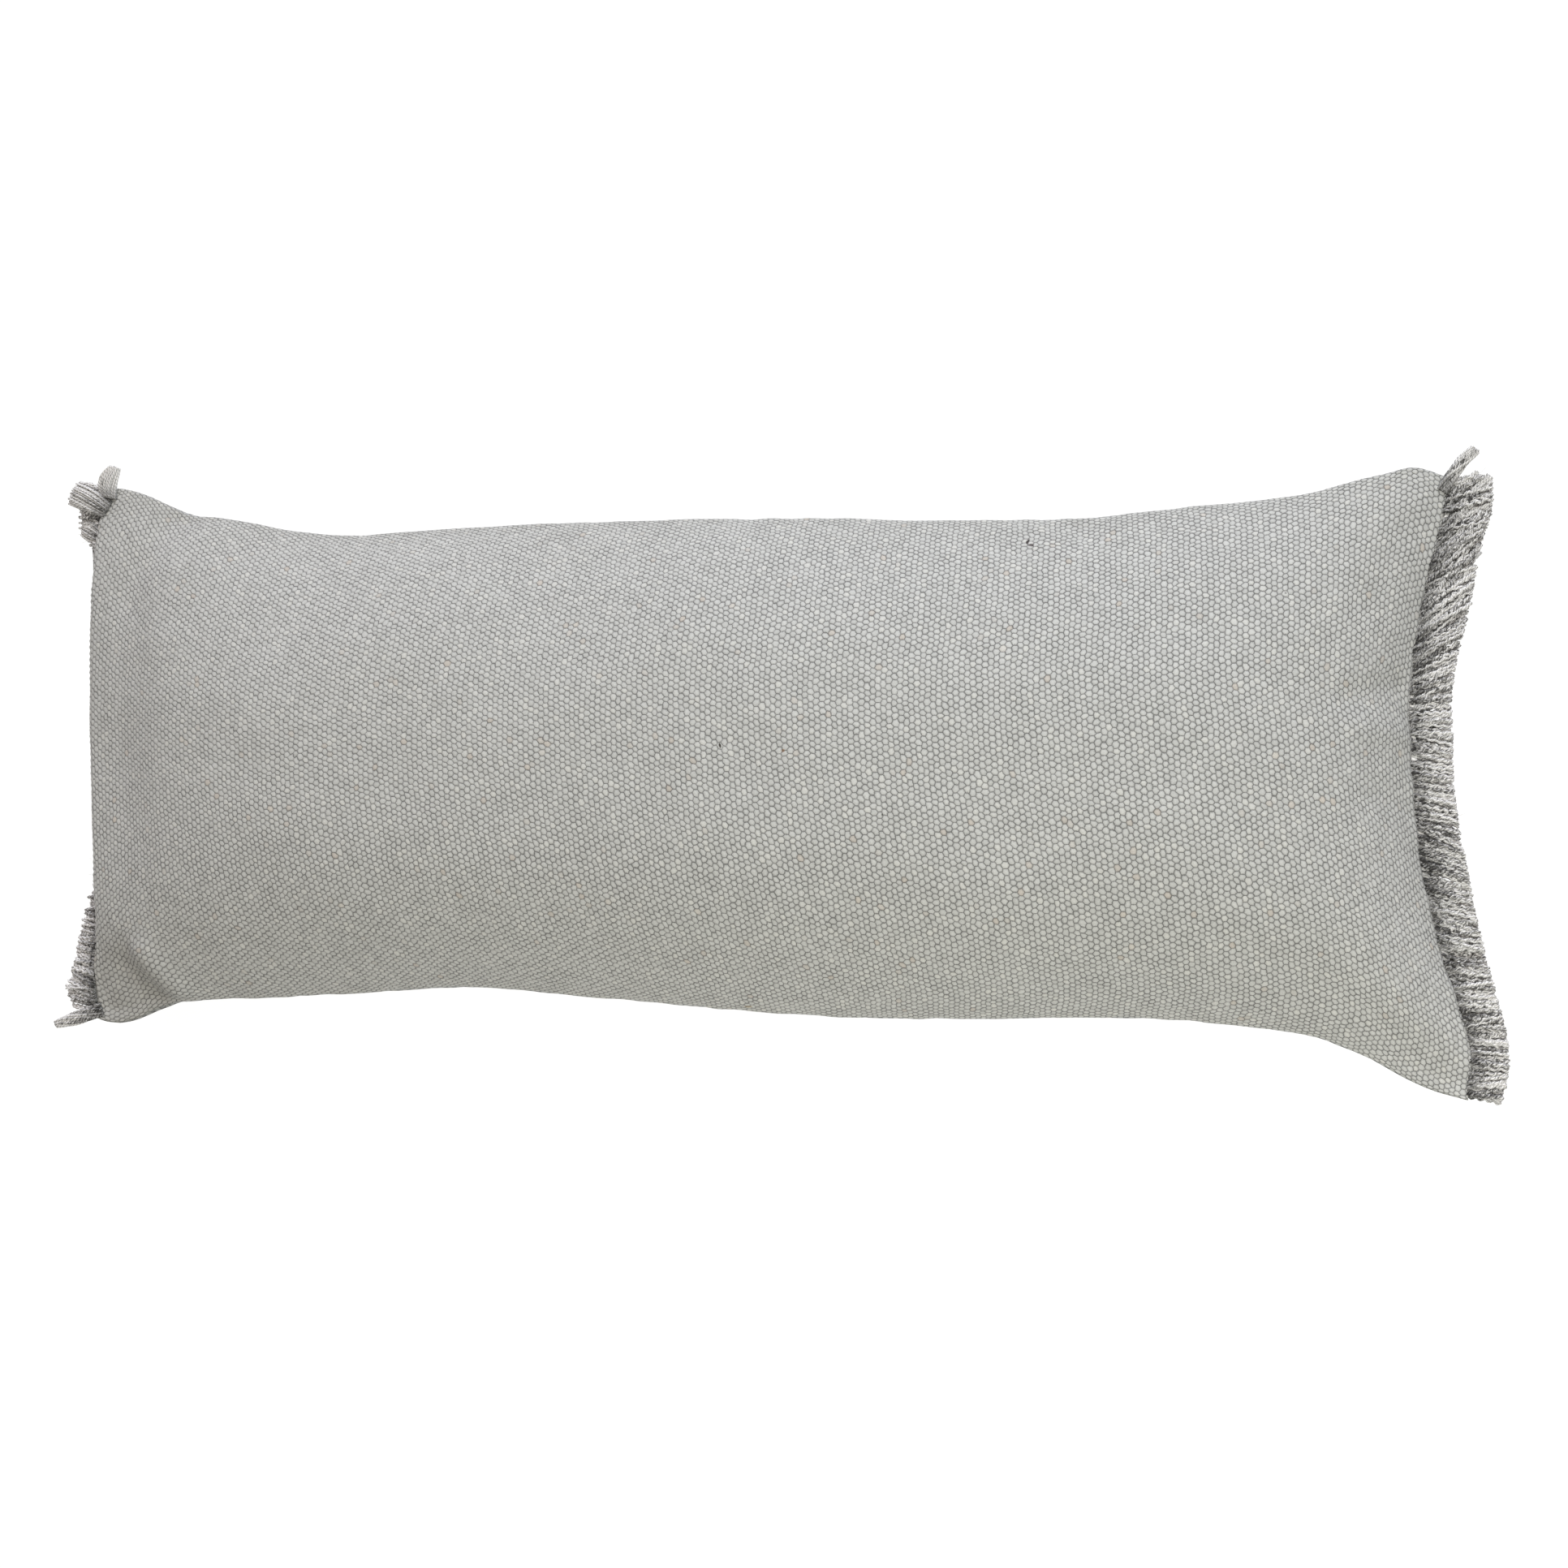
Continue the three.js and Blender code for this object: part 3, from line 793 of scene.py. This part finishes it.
def lock_paths(lock, rng):
    """Middle lines of the yarns of one lock."""
    count = lock["yarns"]
    share = np.linspace(0, 1, YARN_STEPS)[None, :] * rng.normal(1, LOCK_UNEVEN, (count, 1))
    start, end = np.array(lock["start"], float), np.array(lock["end"], float)
    run = end - start
    side = np.array([-run[1], run[0]]) / np.hypot(*run)
    widens = np.sin(np.pi / 2 * np.clip(share / LOCK_PEAK, 0, 1))
    narrows = np.cos(np.pi / 2 * np.clip((share - LOCK_PEAK) / (1 - LOCK_PEAK), 0, 1))
    early = lock["root"] + (1 - lock["root"]) * widens
    late = lock["tip"] + (1 - lock["tip"]) * narrows
    place = np.arange(count)[:, None]
    out = lock["width"] / 2 * np.where(share < LOCK_PEAK, early, late) * np.sqrt((place + 0.5) / count)
    angle = GOLDEN_TURN * place + 2 * np.pi * lock["twists"] * share
    sideways = out * np.cos(angle) + lock["bow"] * 4 * share * (1 - share)
    plan = start + run * share[..., None] + side * sideways[..., None]
    height = SEAM_HEIGHT + lock["lift"] + lock["rise"] * share + LOCK_FLATNESS * out * np.sin(angle)
    return np.concatenate([plan, height[..., None]], axis=2) + SHIFT


def hair_paths(paths, rng):
    """Short fine hairs that stand off the yarns."""
    count = HAIRS["count"]
    pick = rng.integers(0, len(paths), count)
    start = rng.integers(2, YARN_STEPS - 3, count)
    run = paths[pick, start] - paths[pick, start - 1]
    run /= np.maximum(np.linalg.norm(run, axis=1, keepdims=True), TINY)
    share = np.linspace(0, 1, HAIRS["steps"])[None, :, None]
    swing = rng.normal(0, HAIRS["swing"], (count, 1, 3))
    bend = rng.normal(0, HAIRS["bend"], (count, 1, 3))
    length = rng.uniform(*HAIR_LENGTHS, (count, 1, 1))
    return paths[pick, start][:, None] + length * (share * (run[:, None] + swing) + share ** 2 * bend)


def tape(outward):
    """The woven strip that holds the yarns, along the seam, as one four-sided tube."""
    seam = seam_line(outward, np.linspace(-SEAM_SHARE, SEAM_SHARE, STRIP["steps"]))
    inner, outer = -STRIP["inside"] * outward, STRIP["outside"] * outward
    thick, thin = STRIP["inner_half"], STRIP["outer_half"]
    ring = [(inner, -thick), (inner, thick), (outer, thin), (outer, -thin)]
    points = np.stack([seam + np.array([x, 0.0, z]) for x, z in ring[::outward]], axis=1)
    return points[None], tube_faces(1, STRIP["steps"], len(ring))


def tube_places(paths, sides, first, rng, tone=0.0):
    """For each point of a set of tubes: AROUND, LENGTH, TIP, its tube's NUMBER and its TONE."""
    count, steps = paths.shape[:2]
    step = np.linalg.norm(np.diff(paths, axis=1), axis=2)
    length = np.concatenate([np.zeros((count, 1)), np.cumsum(step, axis=1)], axis=1)
    length += rng.uniform(*TWIST_STARTS, (count, 1))
    tip = np.broadcast_to(np.linspace(0, 1, steps), (count, steps))
    around = np.broadcast_to(np.arange(sides) / sides, (count, steps, sides)).ravel()
    number = np.repeat(first + np.arange(count), steps * sides)
    tones = np.repeat(rng.uniform(0, 1, count) + tone, steps * sides)
    return np.stack([around, np.repeat(length.ravel(), sides), np.repeat(tip.ravel(), sides), number, tones])


def make_fringe(fringe, material):
    rng = np.random.default_rng(fringe["seed"])
    own_locks = [lock for lock in LOCKS if lock["node"] == fringe["node"]]
    yarns = np.concatenate([yarn_paths(fringe, rng)] + [lock_paths(lock, rng) for lock in own_locks])
    share = np.linspace(0, 1, YARN_STEPS)[None, :]
    fray = np.clip((share - FRAY["from"]) / (1 - FRAY["from"]), 0, 1) ** 2
    yarn_radii = YARN_RADIUS * rng.uniform(*YARN_LUCK, (len(yarns), 1)) * (1 - (1 - FRAY["radius"]) * fray)
    hairs = hair_paths(yarns, rng)
    hair_taper = np.linspace(1, HAIRS["tip"], HAIRS["steps"])[None, :]
    hair_radii = HAIRS["radius"] * hair_taper * np.ones((len(hairs), 1))
    strip, strip_faces = tape(fringe["outward"])
    yarn_points, yarn_faces = swept(yarns, yarn_radii, YARN_SIDES)
    hair_points, hair_faces = swept(hairs, hair_radii, HAIRS["sides"])
    points = np.concatenate([yarn_points, hair_points, strip.reshape(-1, 3)])
    faces = np.concatenate([yarn_faces, hair_faces + len(yarn_points),
                            strip_faces + len(yarn_points) + len(hair_points)])
    piece = new_mesh(fringe["node"] + "_yarn", points, faces, material)
    tone = np.full(len(yarns), fringe["tone"])
    tone[YARNS:] += np.repeat([lock["tone"] for lock in own_locks], [lock["yarns"] for lock in own_locks])
    places = np.concatenate([
        tube_places(yarns, YARN_SIDES, 0, rng, tone),
        tube_places(hairs, HAIRS["sides"], len(yarns), rng),
        tube_places(strip[:, :, 0], strip.shape[2], len(yarns) + len(hairs), rng),
    ], axis=1)
    add_yarn_uvs(piece, places, faces)
    for name, row in (("tip", TIP), ("tone", TONE)):
        layer = piece.data.attributes.new(name, "FLOAT", "POINT")
        layer.data.foreach_set("value", places[row].astype(np.float32))
    return piece


def add_yarn_uvs(piece, places, faces):
    """One map that follows each yarn round and along, and one that gives each tube a cell of its own."""
    corners = places[AROUND][faces]
    split = np.ptp(corners, axis=1, keepdims=True) > 0.5
    around = (corners + (split & (corners < 0.5))).ravel()
    length, tip, number = (places[k][faces.ravel()] for k in (LENGTH, TIP, NUMBER))
    add_uv(piece, "yarn", np.stack([around, length], axis=1))
    side = math.ceil(math.sqrt(places[NUMBER].max() + 1))
    cell = np.stack([number % side, number // side], axis=1)
    margin, rest = BAKE_CELL
    add_uv(piece, "OFBake", (cell + margin + rest * np.stack([around, tip], axis=1)) / side)
    piece.data.uv_layers.active = piece.data.uv_layers["yarn"]


class Number:
    """A number or colour that nodes work out. Each sign or step adds a node."""

    def __init__(self, nodes, socket):
        self.nodes = nodes
        self.socket = socket

    def step(self, operation, *others):
        sockets = dict(enumerate((self, *others)))
        return self.nodes.number("Math", sockets, operation=operation)

    def __add__(self, other):
        return self.step("ADD", other)

    def __sub__(self, other):
        return self.step("SUBTRACT", other)

    def __mul__(self, other):
        return self.step("MULTIPLY", other)

    def __gt__(self, other):
        return self.step("GREATER_THAN", other)

    def __abs__(self):
        return self.step("ABSOLUTE")

    def __round__(self):
        return self.step("ROUND")

    def smooth(self, low, high, to_low=0.0, to_high=1.0):
        sockets = dict(enumerate((self, low, high, to_low, to_high)))
        return self.nodes.number("MapRange", sockets, interpolation_type="SMOOTHSTEP")


class Nodes:
    """Short forms for building a tree of nodes."""

    def __init__(self, tree):
        self.tree = tree

    def node(self, kind, sockets=None, **settings):
        made = self.tree.nodes.new("ShaderNode" + kind)
        for key, value in settings.items():
            setattr(made, key, value)
        for key, value in (sockets or {}).items():
            self.set(made.inputs[key], value)
        return made

    def set(self, socket, value):
        if isinstance(value, Number):
            self.tree.links.new(value.socket, socket)
        else:
            socket.default_value = value

    def number(self, kind, sockets=None, output=0, **settings):
        return Number(self, self.node(kind, sockets, **settings).outputs[output])

    def vector_math(self, operation, *values, output="Vector"):
        return self.number("VectorMath", dict(enumerate(values)), output, operation=operation)

    def vector(self, x, y, z=0.0):
        return self.number("CombineXYZ", {"X": x, "Y": y, "Z": z})

    def parts(self, vector):
        return [Number(self, socket) for socket in self.node("SeparateXYZ", {0: vector}).outputs]

    def noise(self, place, scale, detail=2.0, roughness=0.5, output="Fac"):
        sockets = {"Vector": place, "Scale": scale, "Detail": detail, "Roughness": roughness}
        return self.number("TexNoise", sockets, output)

    def mix(self, share, low, high):
        made = self.node("Mix", data_type="RGBA")
        for name, value in (("Factor_Float", share), ("A_Color", low), ("B_Color", high)):
            self.set(next(s for s in made.inputs if s.identifier == name), value)
        return Number(self, next(s for s in made.outputs if s.identifier == "Result_Color"))

    def scaled(self, colour, strength):
        """A colour times a number."""
        return self.number("VectorMath", {0: colour, "Scale": strength}, operation="SCALE")


class Paint(Nodes):
    """The nodes of one material."""

    def __init__(self, name):
        self.material = bpy.data.materials.new(name)
        self.material.use_nodes = True
        super().__init__(self.material.node_tree)

    def finished(self, colour, finish, height=None, relief=0.0):
        """The material, with its colour, its other sockets and a fine relief of so many millimetres."""
        shader = self.tree.nodes["Principled BSDF"]
        self.set(shader.inputs["Base Color"], colour)
        for name, value in finish.items():
            self.set(shader.inputs[name], value)
        if height is not None:
            bump = self.number("Bump", {"Strength": 1.0, "Distance": relief * MM, "Height": height})
            self.set(shader.inputs["Normal"], bump)
        return self.material


def weave_rise(column, row):
    """Height of the cloth, from 0 between its bumps to 1 on them."""
    angles = column * (2 * math.pi), (column - row) * math.pi, (column + row) * math.pi
    first, second, third = (angle.step("COSINE") for angle in angles)
    lowest, highest = -1.5, 3.0
    return (first + second + third - lowest) * (1 / (highest - lowest))


def own_bump(column, row):
    """The middle of the bump that a place is on, and how far the place is inside the bump's six sides."""
    middles, squares = [], []
    for shift in (0.0, 1.0):
        middle = [round((value - shift) * 0.5) * 2.0 + shift for value in (column, row)]
        over, up = (column - middle[0]) * COLUMN_PITCH, (row - middle[1]) * ROW_PITCH
        middles.append(middle)
        squares.append(over * over + up * up)
    second_is_nearer = squares[0] > squares[1]
    own = [first + (second - first) * second_is_nearer for first, second in zip(*middles)]
    over, up = column - own[0], row - own[1]
    level_edge = abs(up) * -ROW_PITCH + ROW_PITCH
    slant_edge = abs(squares[0] - squares[1]) * (0.5 / math.hypot(COLUMN_PITCH, ROW_PITCH))

    # Towards the left end, one pair of slanting sides closes up above, and the other pair below
    pair = (over * up > 0.0) * -2.0 + 1.0
    pull = row.smooth(*CLOSED_ROWS) * column.smooth(*CLOSED_COLUMNS)
    closed = (pull * pair).step("MAXIMUM", 0.0)
    return own, (slant_edge + closed * CLOSED_WIDTH).step("MINIMUM", level_edge)


def with_specks_and_painted_shade(paint, colour, place):
    """The colour with the cloth's odd spots and its patch of painted shade."""
    for patch in SPECKS_AND_PAINTED_SHADE:
        u, v = patch["place"]
        middle = (u + COLUMNS * COLUMN_PITCH / 2, v + ROWS * ROW_PITCH / 2, 0.0)
        away = paint.vector_math("SUBTRACT", place, middle)
        away = paint.vector_math("MULTIPLY", away, (*patch["stretch"], 0.0))
        far = paint.vector_math("LENGTH", away, output="Value")
        colour = paint.mix(far.smooth(*SPECK_AND_SHADE_EDGE, patch["strength"], 0.0), colour, patch["colour"])
    return colour


def with_flecks(paint, colour, place):
    """The colour with small dark flecks, strewn by chance."""
    cells = paint.node("TexVoronoi", {"Vector": place, "Scale": 1 / FLECKS["pitch"]}, feature="F1").outputs
    close = Number(paint, cells["Distance"]).smooth(*FLECKS["size"], FLECKS["strength"], 0.0)
    chance = paint.parts(Number(paint, cells["Color"]))[0]
    return paint.mix(close * (chance > FLECKS["rarity"]), colour, FLECKS["colour"])


def cloth_material():
    """Coarse plain weave: rounded bumps on a staggered lattice, thin crevices, and mixed yarn tones; the
    bumps' middles carry painted highlight and the crevices painted shade.
    """
    paint = Paint("grey_cotton_weave")
    uv = paint.number("UVMap", uv_map="cloth")
    sway = paint.vector_math("SUBTRACT", paint.noise(uv, SWAY_FINENESS, output="Color"), (0.5, 0.5, 0.5))
    sway = paint.vector_math("MULTIPLY", sway, SWAY)
    column, row, _ = paint.parts(paint.vector_math("ADD", uv, sway))
    own, edge = own_bump(column, row)
    draws = paint.node("TexWhiteNoise", {"Vector": paint.vector(*own)}, noise_dimensions="3D").outputs
    luck, colour_draw = (Number(paint, draws[name]) for name in ("Value", "Color"))
    for_cream, for_rust, for_fullness = paint.parts(colour_draw)
    place = paint.vector(column * COLUMN_PITCH, row * ROW_PITCH)
    fibres = paint.noise(place, **FIBRES)
    blotches = paint.noise(place, **BLOTCHES)
    size = for_fullness * BUMP_SIZE["luck"] + fibres * BUMP_SIZE["fibres"] + BUMP_SIZE["start"]
    shoulder = edge + size

    colour = paint.mix(luck, CLOTH_DARK, CLOTH_LIGHT)
    colour = paint.mix(for_cream.smooth(*SHADES["cream"]), colour, CREAM)
    colour = paint.mix(for_rust.smooth(*SHADES["rust"]), colour, RUST)
    colour = paint.scaled(colour, fibres.smooth(*SHADES["fibres"]))
    colour = paint.scaled(colour, blotches.smooth(*SHADES["blotches"]))
    # odd spots of the cloth, and painted shade over the lower left corner
    colour = with_specks_and_painted_shade(paint, colour, place)
    # painted highlight on the bumps' middles, and painted shade in the crevices between them
    colour = paint.scaled(colour, shoulder.smooth(*SHADES["bump"]))
    colour = paint.scaled(colour, shoulder.smooth(*SHADES["painted_crevice_shade"]))
    colour = with_flecks(paint, colour, place)
    height = weave_rise(column, row) * CLOTH_HEIGHTS["bump"] + fibres * CLOTH_HEIGHTS["fibres"]
    height = height + shoulder.smooth(0.0, 0.7, to_high=CLOTH_HEIGHTS["shoulder"])
    return paint.finished(colour, CLOTH_FINISH, height, CLOTH_RELIEF)


def yarn_material():
    """Loosely twisted two-ply yarn, heathered from near white to dark grey, palest at its cut tip and
    darkened towards its root by painted shade.
    """
    paint = Paint("heather_yarn")
    around, along, _ = paint.parts(paint.number("UVMap", uv_map="yarn"))
    tone, tip = (paint.number("Attribute", output="Fac", attribute_name=name) for name in ("tone", "tip"))
    helix = along * (1 / TWIST_LENGTH) + around
    ply = abs((helix * (2 * math.pi)).step("COSINE"))
    grain = [value * scale for value, scale in zip((helix, along, tone), YARN_GRAIN)]
    streaks = paint.noise(paint.vector(*grain), **STREAKS)
    pale = streaks + tip * HEATHER["tip"] + tone * HEATHER["tone"]
    colour = paint.mix(pale.smooth(HEATHER["dark"], HEATHER["pale"]), YARN_DARK, YARN_PALE)
    # painted shade in the grooves between the plies
    colour = paint.scaled(colour, ply.smooth(*SHADES["ply"]))
    # painted shade towards the root, where the yarns lie in shadow by the seam
    colour = paint.scaled(colour, tip.smooth(*SHADES["tip"]))
    return paint.finished(colour, YARN_FINISH, streaks * STREAK_RISE + ply, YARN_RELIEF)


def floor_material():
    """A plain pale floor, lit from within so that it stays pale under the pillow."""
    paint = Paint("white_floor")
    cloudy = paint.noise(paint.number("TexCoord", output="Object"), **FLOOR_CLOUDS)
    return paint.finished(paint.mix(cloudy, *FLOOR_TONES), FLOOR_FINISH)


def make_camera():
    yaw, pitch, roll = (math.radians(VIEW[key]) for key in ("yaw", "pitch", "roll"))
    back = Vector((math.sin(yaw) * math.cos(pitch), math.sin(pitch), math.cos(yaw) * math.cos(pitch)))
    level = Vector((math.cos(yaw), 0, -math.sin(yaw)))
    steep = back.cross(level)
    right = math.cos(roll) * level + math.sin(roll) * steep
    up = back.cross(right)
    data = bpy.data.cameras.new("camera")
    data.lens, data.sensor_width = LENS, SENSOR
    camera = bpy.data.objects.new("camera", data)
    place = (Vector(VIEW["aim"]) + back * VIEW["distance"]) * MM
    camera.matrix_world = Matrix.Translation(place) @ Matrix((right, up, back)).transposed().to_4x4()
    bpy.context.scene.collection.objects.link(camera)
    bpy.context.scene.camera = camera


def make_softbox(box):
    data = bpy.data.lights.new(box["name"], "AREA")
    data.shape = "RECTANGLE"
    data.size, data.size_y = (side * MM for side in SOFTBOX_SIZE)
    data.energy, data.color = box["power"], box["colour"]
    light = bpy.data.objects.new(box["name"], data)
    light.location = Vector(box["place"]) * MM
    light.rotation_mode = "QUATERNION"
    light.rotation_quaternion = (Vector(SOFTBOX_TARGET) - Vector(box["place"])).to_track_quat("-Z", "Y")
    bpy.context.scene.collection.objects.link(light)


def make_sky():
    """Soft light from overhead and from above the upper long seam, over a faint even glow."""
    world = bpy.data.worlds.new("studio")
    world.use_nodes = True
    sky = Nodes(world.node_tree)
    direction = sky.number("TexCoord", output="Generated")
    total = (SKY_FILL, SKY_FILL, SKY_FILL)
    for lamp in SKY_LAMPS:
        turn, height = math.radians(lamp["turn"]), math.radians(lamp["height"])
        towards = (math.cos(turn) * math.cos(height), math.sin(turn) * math.cos(height), math.sin(height))
        facing = sky.vector_math("DOT_PRODUCT", direction, towards, output="Value")
        share = facing.step("MAXIMUM", 0.0).step("POWER", LAMP_FOCUS)
        total = sky.vector_math("ADD", sky.vector_math("MULTIPLY", share, lamp["colour"]), total)
    sky.set(sky.tree.nodes["Background"].inputs["Color"], total)
    bpy.context.scene.world = world


def make_studio():
    bpy.context.scene.view_settings.view_transform = "Standard"
    make_sky()
    for box in SOFTBOXES:
        make_softbox(box)
    half = FLOOR_SIZE / 2
    corners = [(x, y, -FLOOR_DROP) for x, y in ((-half, -half), (half, -half), (half, half), (-half, half))]
    new_mesh("floor", corners, [(0, 1, 2, 3)], floor_material())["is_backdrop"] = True


make_camera()
cloth, yarn = cloth_material(), yarn_material()

cushion = make_cushion(cloth)
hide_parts("cushion")
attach(cushion, "root")

for fringe in FRINGES:
    piece = make_fringe(fringe, yarn)
    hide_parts(fringe["node"])
    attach(piece, "root")

make_studio()

{"cad": [list(corner) for corner in cad_box], "visual": [list(corner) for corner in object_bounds()]}
